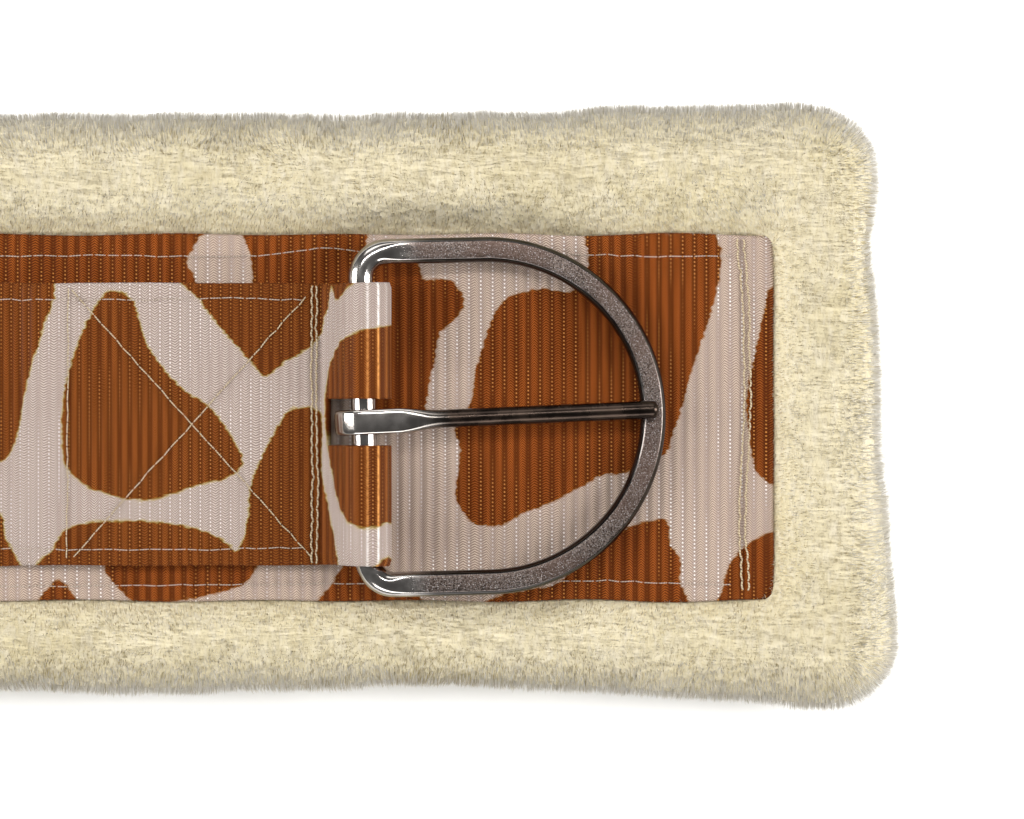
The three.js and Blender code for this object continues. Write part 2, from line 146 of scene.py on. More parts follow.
def solid_grid(top, bottom, keep):
    """A closed skin round the kept cells of two matching grids: points, faces, and which points were used."""
    cols, rows = keep.shape[0] + 1, keep.shape[1] + 1
    at = lambda i, j: i * rows + j
    under = cols * rows
    i, j = np.nonzero(keep)
    a, b, c, d = at(i, j), at(i + 1, j), at(i + 1, j + 1), at(i, j + 1)
    faces = [np.stack([a, b, c, d], 1), np.stack([d, c, b, a], 1) + under]
    wide = np.pad(keep, 1)
    for di, dj, ends in ((0, -1, "ab"), (1, 0, "bc"), (0, 1, "cd"), (-1, 0, "da")):
        open_side = ~wide[i + 1 + di, j + 1 + dj]
        corners = {"a": a, "b": b, "c": c, "d": d}
        p, q = corners[ends[0]][open_side], corners[ends[1]][open_side]
        faces.append(np.stack([q, p, p + under, q + under], 1))
    verts = np.concatenate([top.reshape(-1, 3), bottom.reshape(-1, 3)])
    faces = np.concatenate(faces)
    used = np.unique(faces)
    back = np.zeros(len(verts), np.int64)
    back[used] = np.arange(len(used))
    return verts[used], back[faces], used


def even_path(points, step):
    """A line through points, resampled to even steps; gives points, normals and distances."""
    points = np.asarray(points, float)
    run = np.concatenate([[0.0], np.cumsum(np.linalg.norm(np.diff(points, axis=0), axis=1))])
    s = np.linspace(0.0, run[-1], max(int(round(run[-1] / step)), 2) + 1)
    line = np.stack([np.interp(s, run, points[:, 0]), np.interp(s, run, points[:, 1])], 1)
    along = unit(np.gradient(line, axis=0))
    return line, np.stack([-along[:, 1], along[:, 0]], 1), s


def mirrored(half):
    """A half path's points or normals, with their mirror image before them."""
    return np.concatenate([half[:0:-1] * (-1, 1), half])


def ease(x0, z0, x1, z1, steps=24):
    """A smooth rise or fall between two levels."""
    k = np.linspace(0.0, 1.0, steps)
    late = 3 * (1 - k) * k * k + k ** 3
    middle = 3 * (1 - k) * k
    x = x0 * (1 - k) ** 3 + middle * (x0 + x1) / 2 + x1 * k ** 3
    return list(zip(x, z0 + (z1 - z0) * late))


def arc(cx, cz, radius, start, end, steps):
    angles = np.radians(np.linspace(start, end, steps))
    return [(cx + radius * math.cos(a), cz + radius * math.sin(a)) for a in angles]


# ---- shader helpers

class Shade:
    """Builds one material's nodes."""

    def __init__(self, name):
        self.material = bpy.data.materials.new(name)
        self.material.use_nodes = True
        self.tree = self.material.node_tree
        self.main = self.tree.nodes["Principled BSDF"]

    def put(self, socket, value):
        """Links an output to a socket, or sets the socket to a number or a colour."""
        if isinstance(value, bpy.types.NodeSocket):
            self.tree.links.new(value, socket)
            return
        if hasattr(socket.default_value, "__len__"):
            size = len(socket.default_value)
            if not hasattr(value, "__len__"):
                value = (value,) * size
            elif size == 4 and len(value) == 3:
                value = (*value, 1.0)
        socket.default_value = value

    def new(self, kind):
        return self.tree.nodes.new("ShaderNode" + kind)

    def node(self, kind, **inputs):
        n = self.new(kind)
        for key, value in inputs.items():
            self.put(n.inputs[key.replace("_", " ")], value)
        return n

    def math(self, op, a, b=0.0, c=0.0):
        n = self.new("Math")
        n.operation = op
        for i, value in enumerate((a, b, c)):
            self.put(n.inputs[i], value)
        return n.outputs[0]

    def times(self, a, b):
        return self.math("MULTIPLY", a, b)

    def plus(self, a, b):
        return self.math("ADD", a, b)

    def minus(self, a, b):
        return self.math("SUBTRACT", a, b)

    def ramp(self, value, low, high, to_low=0.0, to_high=1.0):
        n = self.new("MapRange")
        n.interpolation_type = "SMOOTHSTEP"
        for key, number in zip(("Value", "From Min", "From Max", "To Min", "To Max"),
                               (value, low, high, to_low, to_high)):
            self.put(n.inputs[key], number)
        return n.outputs[0]

    def blend(self, factor, a, b, mode="MIX"):
        n = self.new("Mix")
        n.data_type = "RGBA"
        n.blend_type = mode
        self.put(n.inputs[0], factor)
        self.put(n.inputs[6], a)
        self.put(n.inputs[7], b)
        return n.outputs[2]

    def value(self, name, part="Fac"):
        n = self.new("Attribute")
        n.attribute_name = name
        return n.outputs[part]

    def noise(self, where, scale, detail=2.0, rough=0.5):
        n = self.node("TexNoise", Scale=scale, Detail=detail, Roughness=rough)
        self.put(n.inputs["Vector"], where)
        return n.outputs["Fac"]

    def place(self):
        return self.new("TexCoord").outputs["Object"]

    def split(self, vector):
        n = self.new("SeparateXYZ")
        self.put(n.inputs[0], vector)
        return n.outputs

    def join(self, x, y, z=0.0):
        n = self.new("CombineXYZ")
        for i, value in enumerate((x, y, z)):
            self.put(n.inputs[i], value)
        return n.outputs[0]

    def bump(self, height, strength, distance):
        n = self.node("Bump", Height=height, Strength=strength, Distance=distance)
        self.put(self.main.inputs["Normal"], n.outputs[0])

    def set(self, **inputs):
        for key, value in inputs.items():
            self.put(self.main.inputs[key.replace("_", " ")], value)


def colour(r, g, b):
    """A colour as the eye names it, 0 to 255, as the light it is."""
    return tuple(((c / 255 + 0.055) / 1.055) ** 2.4 if c > 10 else c / 255 / 12.92 for c in (r, g, b))


# ---- materials

def webbing_material(name, pitch, brown, brown_dark, pale, pale_dark, rim, dots, slant):
    """Ribbed webbing: satin ribs of fine slanted yarn, a line of binding yarn between them, and the print;
    painted shade in the grooves and a painted highlight on the fold's crest.
    """
    m = Shade(name)
    where = m.value("weave", "Vector")
    s, y, _ = m.split(where)
    fine = m.noise(where, 0.9, 3.0)
    broad = m.noise(where, 0.05, 2.0)
    ragged = m.noise(m.join(m.times(s, 0.5), y), 0.75, 3.0)
    edge_wander = m.times(m.minus(ragged, 0.5), 2.0)
    inside = m.plus(m.value("print"), edge_wander)
    printed = m.ramp(inside, -0.16, 0.16)
    phase = m.math("FRACT", m.math("DIVIDE", s, pitch))
    across = m.math("ABSOLUTE", m.minus(phase, 0.5))  # 0 on a rib's crown, 0.5 in the groove
    groove = m.ramp(across, 0.15, 0.38)
    # Fine yarn: short slanted floats that change direction at each rib's middle.
    rib = m.math("ROUND", m.math("DIVIDE", s, pitch))
    own = m.noise(m.join(m.times(rib, 7.3), m.times(y, 0.02)), 1.0, 1.0)
    chevron = m.times(m.times(across, slant * pitch), m.ramp(own, 0.35, 0.65, 0.6, 1.4))
    turn = m.times(m.plus(y, chevron), 1.46)
    wander = m.times(m.minus(fine, 0.5), 0.6)
    yarn = m.math("PINGPONG", m.plus(turn, wander), 0.5)
    yarn = m.ramp(yarn, 0.12, 0.34)
    # Binding yarn: one bright dot every 1.05 mm in the groove.
    beat = m.math("PINGPONG", m.math("DIVIDE", m.plus(y, m.times(s, 0.11)), 1.05), 0.5)
    dot = m.times(m.ramp(beat, 0.24, 0.38), m.ramp(across, 0.41, 0.47))
    dot = m.times(dot, m.ramp(broad, 0.38, 0.62, dots * 0.1, dots))
    ink = m.blend(yarn, brown_dark, brown)
    # Painted shade: the ink goes darker in the grooves between the ribs.
    ink = m.blend(m.times(groove, 0.78), ink, colour(70, 30, 11))
    ink = m.blend(m.ramp(broad, 0.35, 0.68, 0.0, 0.22), ink, brown_dark)
    ink = m.blend(m.ramp(own, 0.38, 0.62, 0.34, 0.0), ink, brown_dark)
    ink = m.blend(m.times(dot, 0.8), ink, colour(208, 140, 70))
    ground = m.blend(yarn, pale_dark, pale)
    # Painted shade in the grooves, on the pale ground as well.
    ground = m.blend(m.times(groove, 0.55), ground, colour(146, 128, 120))
    ground = m.blend(dot, ground, colour(250, 244, 240))
    # The fold's crest: a painted highlight, pale lines along the ribs' crowns.
    painted_crest_highlight = m.times(m.value("crest"), m.ramp(across, 0.03, 0.17, 0.85, 0.0))
    painted_crest_highlight = m.times(painted_crest_highlight, m.ramp(fine, 0.35, 0.6, 0.45, 1.0))
    ink = m.blend(painted_crest_highlight, ink, colour(238, 166, 92))
    ground = m.blend(painted_crest_highlight, ground, colour(255, 250, 246))
    # A thin rim of the dye's own colour at each patch's edge.
    halo = m.times(m.ramp(inside, -0.5, -0.1), m.ramp(inside, 0.0, 0.4, 1.0, 0.0))
    both = m.blend(printed, ground, ink)
    both = m.blend(m.times(halo, 0.45), both, rim)
    m.set(Base_Color=both, Specular_IOR_Level=0.40, Specular_Tint=both)
    m.set(Roughness=m.ramp(yarn, 0.0, 1.0, 0.58, 0.34))
    height = m.plus(m.times(yarn, 0.55), m.times(dot, 0.9))
    m.bump(height, 0.9, 0.00022)
    return m.material


def fleece_material(name, base, deep, pale):
    m = Shade(name)
    where = m.place()
    x, y, z = m.split(where)
    soft = m.noise(where, 28.0, 3.0)
    streak = m.noise(m.join(x, m.times(y, 0.35), z), 620.0, 3.0)
    tone = m.blend(m.ramp(soft, 0.35, 0.65), deep, base)
    tone = m.blend(m.ramp(streak, 0.38, 0.72, 0.0, 0.45), tone, pale)
    m.set(Base_Color=tone, Roughness=0.95, Specular_IOR_Level=0.15)
    m.set(Sheen_Weight=0.25, Sheen_Roughness=0.5)
    m.bump(streak, 0.6, 0.0012)
    return m.material


def hair_material(name, tone):
    """A fibre: some light goes through it."""
    m = Shade(name)
    m.set(Base_Color=tone, Roughness=0.8, Specular_IOR_Level=0.1, Sheen_Weight=0.2, Sheen_Roughness=0.5)
    through = m.node("BsdfTranslucent", Color=tone)
    both = m.node("MixShader", Fac=0.72)
    m.tree.links.new(m.main.outputs[0], both.inputs[1])
    m.tree.links.new(through.outputs[0], both.inputs[2])
    end = [n for n in m.tree.nodes if n.type == "OUTPUT_MATERIAL"][0]
    m.tree.links.new(both.outputs[0], end.inputs[0])
    return m.material


def thread_material(name, tone, deep):
    m = Shade(name)
    s, turn, _ = m.split(m.value("weave", "Vector"))
    ply = m.math("PINGPONG", m.plus(m.times(s, 1.3), turn), 0.5)
    mixed = m.blend(m.ramp(ply, 0.02, 0.3), deep, tone)
    m.set(Base_Color=mixed, Roughness=0.5, Specular_IOR_Level=0.4)
    m.bump(m.ramp(ply, 0.0, 0.4), 0.6, 0.00012)
    return m.material


def steel_tone(m, cloud, low, high):
    """Steel that goes between two tones in soft clouds."""
    return m.blend(m.ramp(cloud, 0.3, 0.7), colour(*low), colour(*high))


def polished_material(name):
    m = Shade(name)
    where = m.place()
    cloud = m.noise(where, 190.0, 4.0)
    x, y, z = m.split(where)
    scratch = m.noise(m.join(x, m.times(y, 6.0), z), 420.0, 3.0)
    m.set(Base_Color=steel_tone(m, cloud, (168, 162, 157), (192, 187, 182)), Metallic=1.0)
    m.set(Roughness=m.ramp(cloud, 0.3, 0.75, 0.10, 0.22))
    m.bump(m.plus(cloud, m.times(scratch, 0.4)), 0.12, 0.0002)
    return m.material


def rod_material(name):
    """The tongue: polished at its curl, and duller along its rod, where a painted dark reflection darkens its
    steel.
    """
    m = Shade(name)
    where = m.place()
    cloud = m.noise(where, 210.0, 4.0)
    rod = m.value("rod")
    bright = steel_tone(m, cloud, (164, 158, 152), (190, 184, 178))
    # Painted dark reflection: the rod's steel is much darker than the curl's.
    dark = steel_tone(m, cloud, (42, 35, 31), (68, 57, 50))
    m.set(Base_Color=m.blend(rod, bright, dark), Metallic=1.0)
    m.set(Roughness=m.plus(m.ramp(cloud, 0.3, 0.75, 0.10, 0.2), m.times(rod, 0.12)))
    m.bump(cloud, 0.15, 0.0002)
    return m.material


def hoop_material(name):
    """The buckle: polished, going over into a fine blasted grain on its flat face, dark and a little warm, with
    painted glints in the grain; along its arms the polished steel carries a painted dark reflection.
    """
    m = Shade(name)
    where = m.place()
    flat = m.value("flat")
    cloud = m.noise(where, 190.0, 4.0)
    grain = m.noise(where, 2600.0, 2.0, 0.6)
    patch = m.noise(where, 70.0, 3.0)
    # Painted glints: bright specks put into the blasted grain's colour.
    cell = m.node("TexVoronoi", Scale=2100.0)
    m.put(cell.inputs["Vector"], where)
    painted_glint = m.ramp(cell.outputs["Distance"], 0.12, 0.28, 1.0, 0.0)
    smooth = steel_tone(m, cloud, (160, 154, 149), (190, 185, 180))
    # Painted dark reflection: the polished steel along the arms goes much darker.
    smooth = m.blend(m.times(m.value("arm"), 0.88), smooth, colour(44, 42, 41))
    tone = m.blend(m.ramp(grain, 0.36, 0.64), colour(52, 44, 40), colour(132, 120, 113))
    tone = m.blend(m.ramp(patch, 0.35, 0.65, 0.1, 0.6), tone, colour(96, 76, 67))
    tone = m.blend(m.times(painted_glint, 0.6), tone, colour(214, 212, 212))
    rough = m.plus(m.ramp(cloud, 0.3, 0.75, 0.10, 0.2), m.times(flat, m.ramp(grain, 0.3, 0.7, 0.2, 0.34)))
    m.set(Base_Color=m.blend(flat, smooth, tone), Metallic=1.0, Roughness=rough)
    m.bump(m.times(flat, m.plus(grain, painted_glint)), 0.5, 0.00012)
    return m.material


# ---- the print

def closed_curve(points, steps=5):
    """A smooth closed line through the points."""
    p = np.asarray(points, float)
    before, after, later = np.roll(p, 1, 0), np.roll(p, -1, 0), np.roll(p, -2, 0)
    out = []
    for t in np.arange(steps) / steps:
        out.append(0.5 * (2 * p + (after - before) * t + (2 * before - 5 * p + 4 * after - later) * t * t
                          + (3 * p - before - 3 * after + later) * t ** 3))
    return np.stack(out, 1).reshape(-1, 2)


def inside_distance(x, y, outline):
    """Distance to a closed outline: more than 0 inside it."""
    a, b = outline, np.roll(outline, -1, 0)
    best, crossings = np.full(x.shape, 1e9), np.zeros(x.shape, int)
    for (ax, ay), (bx, by) in zip(a, b):
        ex, ey = bx - ax, by - ay
        t = np.clip(((x - ax) * ex + (y - ay) * ey) / (ex * ex + ey * ey + 1e-9), 0, 1)
        best = np.minimum(best, (x - ax - t * ex) ** 2 + (y - ay - t * ey) ** 2)
        if ay != by:
            hit = ((ay > y) != (by > y)) & (x < ax + (y - ay) / (by - ay) * ex)
            crossings += hit
    return np.where(crossings % 2 == 1, 1.0, -1.0) * np.sqrt(best)


def giraffe_cells(x, y, seed):
    """The same print where it has no drawn patches: cells with a pale net between them."""
    r = np.random.default_rng(seed)
    seeds = []
    for i in range(-2, int(CELLS_REACH / CELL) + 3):
        for j in range(-3, 4):
            shift = 0.5 * CELL * (i % 2)
            seeds.append((i * CELL + r.uniform(-0.3, 0.3) * CELL,
                          j * CELL + shift + r.uniform(-0.3, 0.3) * CELL))
    near = np.full(x.shape, 1e9)
    second = np.full(x.shape, 1e9)
    wx, wy = x + 3.4 * ripple(x, y, 44, seed), y + 3.4 * ripple(x, y, 40, seed + 1)
    for sx, sy in seeds:
        d = np.hypot(wx - sx, wy - sy)
        second = np.minimum(second, np.maximum(near, d))
        near = np.minimum(near, d)
    return (second - near) / 1.7 - NET / 2


STRAP_PATCHES = [
    [(178, 38), (213, 36), (212, 21), (208, 8), (204, -9), (199, -15), (186, -18), (174, -12), (169, 6),
     (171, 25)],
    [(178, -29), (190, -26), (200, -29), (201, -35), (204, -40), (203, -45), (170, -45)],
    [(231, 31.5), (236.5, 29), (240.5, 17), (249, 6), (258, -0.5), (266, -13), (264, -18), (254, -21),
     (240, -25), (227, -22.5), (220, -18), (217.5, -12), (218, 5), (223, 21), (228, 30)],
    [(250, 37), (289, 37), (288.7, 23), (285, 17), (277, 12), (272.5, 8.5), (269, 12), (261, 21), (254, 30)],
    [(281, 0), (288, -2), (288, -17), (291, -28), (294, -45), (263, -45), (266.5, -36), (268, -28), (269, -19),
     (277, -3)],
    [(215, -38), (220, -32), (235, -30.5), (251, -32), (261, -36), (264, -39), (262, -46), (212, -46)],
    [(290, 7), (294, 15), (302, 20), (312, 22), (330, 20), (334, -12), (326, -30), (312, -31), (303, -32),
     (296, -25), (291.5, -14), (289.5, -5)],
    [(292, 37), (305, 37), (301, 33), (295, 29.5)],
    [(306, -45), (318, -45), (312, -40)],
]
BASE_PATCHES = [
    [(188, 53), (256, 53), (254, 47), (250, 40), (248, 32), (188, 32)],
    [(266, 53), (297, 53), (299, 44), (297, 32), (271, 32), (268, 42)],
    [(296, 41), (312, 40), (315, 35), (322, 35), (326, 29), (323, 24), (319, 20), (318, 13), (316.5, 8),
     (315.5, 1), (313, -6.5), (309, -4), (296, 1)],
    [(340, 31), (348, 32.5), (356, 32), (360, 40), (360.5, 53), (388, 53), (395, 46), (396, 39), (393.5, 27),
     (390, 16), (387, 7), (385, -1), (383, -6), (381, -12), (372, -17), (363, -18.5), (359, -21),
     (353, -24), (348, -26.5), (341, -29), (336, -32), (328, -31), (324, -25), (324, -19), (325, -11),
     (323.5, -5), (328, 2), (329, 10), (331.5, 18), (335, 27)],
    [(334, -56), (335, -51), (350, -48.5), (355, -45), (363, -38.5), (370, -33), (378, -30.5), (381.5, -31),
     (382, -37), (385, -41), (384.5, -46), (383, -56)],
    [(208, -56), (212, -50), (215.5, -47), (219, -51), (221, -56)],
    [(229, -40), (266, -40), (268, -46), (262, -49.5), (250, -52), (236, -53)],
    [(296, -40), (290, -48), (286, -56), (315, -56), (307, -46)],
    [(411, 34), (408, 27), (405, 13), (403, 2), (404, -9), (405.5, -17), (408, -19.5), (412, -21), (432, -20),
     (432, 36)],
    [(411, -34), (408, -34.5), (404, -37), (399.5, -41), (396.5, -49), (398, -56), (432, -56), (432, -33)],
]


def print_values(s, y, patches, seed):
    """How far inside a printed patch each point is; s runs from the middle of the girth to either end."""
    drawn = np.full(s.shape, -30.0)
    side = np.abs(s)
    for patch in patches:
        outline = closed_curve(patch)
        low, high = outline.min(0) - 14, outline.max(0) + 14
        near = (side > low[0]) & (side < high[0]) & (y > low[1]) & (y < high[1])
        if near.any():
            drawn[near] = np.maximum(drawn[near], inside_distance(side[near], y[near], outline))
    cells = giraffe_cells(np.where(s < 0, side + 9, side), np.where(s < 0, -y, y), seed)
    cells = np.minimum(cells, -drawn - NET) - 24 * fade(side, *DRAWN_FROM)
    return np.clip(np.maximum(drawn, cells), -12, 12)


# ---- webbings

def webbing(name, half, spec, look, patches, seed, rows_at, rib, opening=None):
    """A strip of webbing along a half path and its mirror image, with real ribs across it."""
    pitch = spec["pitch"]
    line, normal, s = even_path(half, pitch / 6)
    line, normal = mirrored(line), mirrored(normal)
    s = np.concatenate([-s[:0:-1], s])
    across = np.asarray(rows_at, float)
    rel = across - spec["y"]
    edge = fade(spec["width"] / 2 - np.abs(rel), 0.0, 1.6)[None, :]
    wave = np.cos(2 * math.pi * s / pitch)[:, None]
    crown = np.sign(wave) * np.abs(wave) ** 0.7
    groove = rib * (0.5 + 0.5 * crown) * (0.3 + 0.7 * edge)
    half_thick = (spec["thick"] / 2 - 0.04) * (0.45 + 0.55 * edge) - groove
    wander = 0.35 * ripple(s, 0 * s, 60, seed)[:, None] * (rel / (spec["width"] / 2))[None, :] ** 3
    yy = across[None, :] + wander
    lift = (0.10 * ripple(s[:, None], across[None, :], 47, seed + 5) - 0.08) * edge
    if opening:
        lift = lift * 0.4

    def face(side):
        off = half_thick * side + lift
        return np.stack([line[:, :1] + normal[:, :1] * off, yy, line[:, 1:] + normal[:, 1:] * off], -1)

    keep = np.ones((len(s) - 1, len(across) - 1), bool)
    if opening:
        mid_s, mid_y = np.abs(s[1:] + s[:-1]) / 2, (across[1:] + across[:-1]) / 2
        start, turn = opening
        inside = (mid_s > start) & (mid_s < 2 * turn - start)
        keep &= ~(inside[:, None] & (np.abs(mid_y - SLOT["y"]) < SLOT["width"] / 2)[None, :])
    ob, on_skin = strip(name, face, keep, s, across, look)
    printed = print_values(*np.broadcast_arrays(s[:, None], across[None, :]), patches, seed)
    point_values(ob, "print", on_skin(printed))
    # crest: where the fold's crest gets its painted highlight.
    crest = np.exp(-((np.abs(line[:, 0]) - BAR["x"] - 2.8) / 1.9) ** 2) * (line[:, 1] > BAR["z"] + 3)
    point_values(ob, "crest", on_skin(crest[:, None] + 0 * printed))
    return ob


def strip(name, face, keep, s, across, look, turned=False):
    """A strip's skin between its two faces, which face(1) and face(-1) give; also gives a function that
    puts values of the grid on the skin's points."""
    verts, faces, used = solid_grid(face(1), face(-1), keep)
    ob = make(name, verts, faces[:, ::-1] if turned else faces, [look])
    on_skin = lambda grid: np.concatenate([grid.ravel(), grid.ravel()])[used]
    places = [on_skin(grid) for grid in np.broadcast_arrays(s[:, None], across[None, :])]
    point_values(ob, "weave", np.stack([*(places[::-1] if turned else places), 0 * places[1]], 1))
    return ob, on_skin


def rows_between(low, high, step, breaks=()):
    """Rows across a strip, closer at its two edges."""
    marks = sorted([low, low + 0.5, low + 1.4, high - 1.4, high - 0.5, high, *breaks])
    out = []
    for a, b in zip(marks, marks[1:]):
        n = max(int(round((b - a) / step)), 1)
        out += list(np.linspace(a, b, n, endpoint=False))
    return out + [high]


def base_path():
    r = (BASE["thick"] + GAP) / 2
    cx = BASE["length"] / 2 - r - BASE["thick"] / 2
    return [(0, BASE_MIDDLE), *arc(cx, BASE_MIDDLE - r, r, 90, -90, 20),
            (BASE["length"] / 2 - BASE["turned"], BASE_MIDDLE - 2 * r)]


def strap_path():
    turn = STRAP["turn"] + STRAP["thick"] / 2
    join = BAR["x"] - 10
    return [
        (0, LEG_MIDDLE),
        *ease(STRAP["leg_end"] - STRAP["ramp"], LEG_MIDDLE, STRAP["leg_end"] - 2, STRAP_MIDDLE),
        *ease(TACK_X + 0.5, STRAP_MIDDLE, BAR["x"], BAR["z"] + turn)[:-1],
        *arc(BAR["x"], BAR["z"], turn, 90, -90, 60),
        *ease(BAR["x"], BAR["z"] - turn, join, LEG_MIDDLE)[1:],
        (STRAP["leg_end"] + 0.5, LEG_MIDDLE),
    ]


def path_distance(path, reached):
    """How far along a path the first point past a test lies."""
    line, _, s = even_path(path, 0.2)
    return float(s[np.argmax(reached(line))])


# ---- fleece

def outline_push(x, y):
    """How far the fleece's edge wanders in or out."""
    along = np.abs(x)
    top = 3.2 + 1.6 * fade(along, 300, 400) - 1.0 * fade(along, 408, 430)
    bottom = -0.9 - 1.6 * fade(along, 230, 310) + 4.6 * fade(along, 330, 425)
    side = np.where(y > 0, top, bottom) * fade(np.abs(y), 40, 70)
    end = -1.2 + 2.0 * fade(-y, -50, -22) + 3.4 * fade(-y, -10, 62)
    end = end - 1.6 * fade(-y, 66, 78) - 1.4 * fade(y, 50, 66)
    return side + end * fade(along, 415, 436) + 0.8 * ripple(x, y, 46, 11)


def edge_distance(x, y):
    """Distance inside the pad's rounded outline."""
    qx, qy = np.abs(x) - HALF_X + PAD_CORNER, np.abs(y) - HALF_Y + PAD_CORNER
    outside = np.hypot(np.maximum(qx, 0), np.maximum(qy, 0)) + np.minimum(np.maximum(qx, qy), 0)
    return PAD_CORNER - outside


def from_webbing(x, y):
    """Distance out from the wide webbing's edge: less than 0 under it."""
    return np.maximum(np.abs(y - BASE["y"]) - BASE["width"] / 2, np.abs(x) - BASE["length"] / 2)


def fleece_start():
    """The pad's cloth before it is puffed up: flat below, rolled over its edge, tucked down to the webbing."""
    step = 2.5
    x, y = np.meshgrid(np.arange(-450, 450.1, step), np.arange(-90, 90.1, step), indexing="ij")
    depth = edge_distance(x, y) + outline_push(x, y) - PILE_ROOM
    gx, gy = np.gradient(depth, step)
    outside = np.minimum(depth, 0)
    px, py = x - outside * gx, y - outside * gy
    inner = np.maximum(depth, 0)
    top = np.interp(inner, (0, 0.8, 2, 4, 8, 13, 18), (13.4, 17, 20, 22.8, 25.4, 26.8, 26.8))
    away = from_webbing(x, y)
    tuck = np.interp(away, (-5, -1.5, 0, 1, 2.5, 5, 9, 14), (17.2, 17.4, 20.6, 23.0, 24.7, 25.9, 26.6, 27))
    top = np.minimum(top, tuck)
    low = np.interp(inner, (0, 0.7, 2, 4.5, 9, 15), (12.6, 9.6, 7.0, 5.0, 3.9, PILE_ROOM))
    roll = fade(inner, 0, 6) * fade(away, 1, 6)
    top = top + roll * (0.7 * ripple(x, y, 62, 21) + 0.3 * ripple(x, y, 24, 22))
    cell = lambda a: (a[1:, 1:] + a[:-1, 1:] + a[1:, :-1] + a[:-1, :-1]) / 4
    keep = cell(depth) > -0.8
    return solid_grid(np.stack([px, py, top], -1), np.stack([px, py, low], -1), keep)[:2]


def applied(ob):
    """The piece with its modifiers worked into its mesh."""
    shown = ob.evaluated_get(bpy.context.evaluated_depsgraph_get())
    made = bpy.data.meshes.new_from_object(shown)
    ob.modifiers.clear()
    old, ob.data = ob.data, made
    bpy.data.meshes.remove(old)


def points_of(ob):
    co = np.empty(len(ob.data.vertices) * 3)
    ob.data.vertices.foreach_get("co", co)
    return co.reshape(-1, 3) / MM


def set_points(ob, co):
    ob.data.vertices.foreach_set("co", (co * MM).ravel())
    ob.data.update()


def puff(ob, held, pressure, cap, frames=20):
    """Blows the piece up as cloth does; held is 1 where a seam or the floor keeps it still."""
    before = points_of(ob)
    group = ob.vertex_groups.new(name="held")
    for weight in (1.0, 0.6, 0.3):
        chosen = np.nonzero((held >= weight - 0.15) & (held <= weight + 0.15))[0]
        group.add([int(i) for i in chosen], weight, "REPLACE")
    cloth = ob.modifiers.new("puff", "CLOTH")
    cloth.settings.vertex_group_mass = "held"
    cloth.settings.use_pressure = True
    cloth.settings.uniform_pressure_force = pressure
    cloth.settings.effector_weights.gravity = 0.0
    cloth.settings.quality = 4
    cloth.collision_settings.use_collision = False
    cloth.point_cache.frame_end = frames
    for number in range(1, frames + 1):
        bpy.context.scene.frame_set(number)
    applied(ob)
    bpy.context.scene.frame_set(1)
    moved = points_of(ob) - before
    size = np.linalg.norm(moved, axis=1)[:, None]
    set_points(ob, before + moved * np.minimum(1.0, cap / np.maximum(size, 1e-6)))


def press_under_rings(ob):
    """The two rings lie on the fleece and press it down, with room left for its fibres."""
    fibres = 2.2
    co = points_of(ob)
    level = DEE["z"] - DEE["wire"] - fibres
    reach = CROSS_END + DEE["straight"] + DEE["half"] + DEE["wire"]
    aside = np.maximum(np.abs(co[:, 0]) - DEE["half"] - DEE["wire"], 0)
    past = np.maximum(np.abs(co[:, 1] - BASE["y"]) - reach, 0)
    weight = 1 - fade(np.hypot(aside, past), 1, 9)
    co[:, 2] -= np.maximum(co[:, 2] - level, 0) * weight
    set_points(ob, co)


def fleece_body(material):
    verts, faces = fleece_start()
    ob = make("fleece_pad", verts, faces, [material])
    remesh = ob.modifiers.new("even", "REMESH")
    remesh.mode = "VOXEL"
    remesh.voxel_size = 4.5 * MM
    applied(ob)
    calm = ob.modifiers.new("calm", "SMOOTH")
    calm.iterations = 3
    applied(ob)
    co = points_of(ob)
    away = from_webbing(co[:, 0], co[:, 1])
    under = (away < -1) | ((co[:, 2] < 6) & (edge_distance(co[:, 0], co[:, 1]) > 16))
    near = (away < 3.5) & ~under
    puff(ob, np.where(under, 1.0, np.where(near, 0.6, 0.0)), 4.0, 2.2)
    finer = ob.modifiers.new("finer", "SUBSURF")
    finer.levels = finer.render_levels = 1
    applied(ob)
    press_under_rings(ob)
    ob.data.polygons.foreach_set("use_smooth", np.ones(len(ob.data.polygons), bool))
    ob.data.materials.clear()
    ob.data.materials.append(material)
    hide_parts("fleece_cover", "felt_core")
    return ob


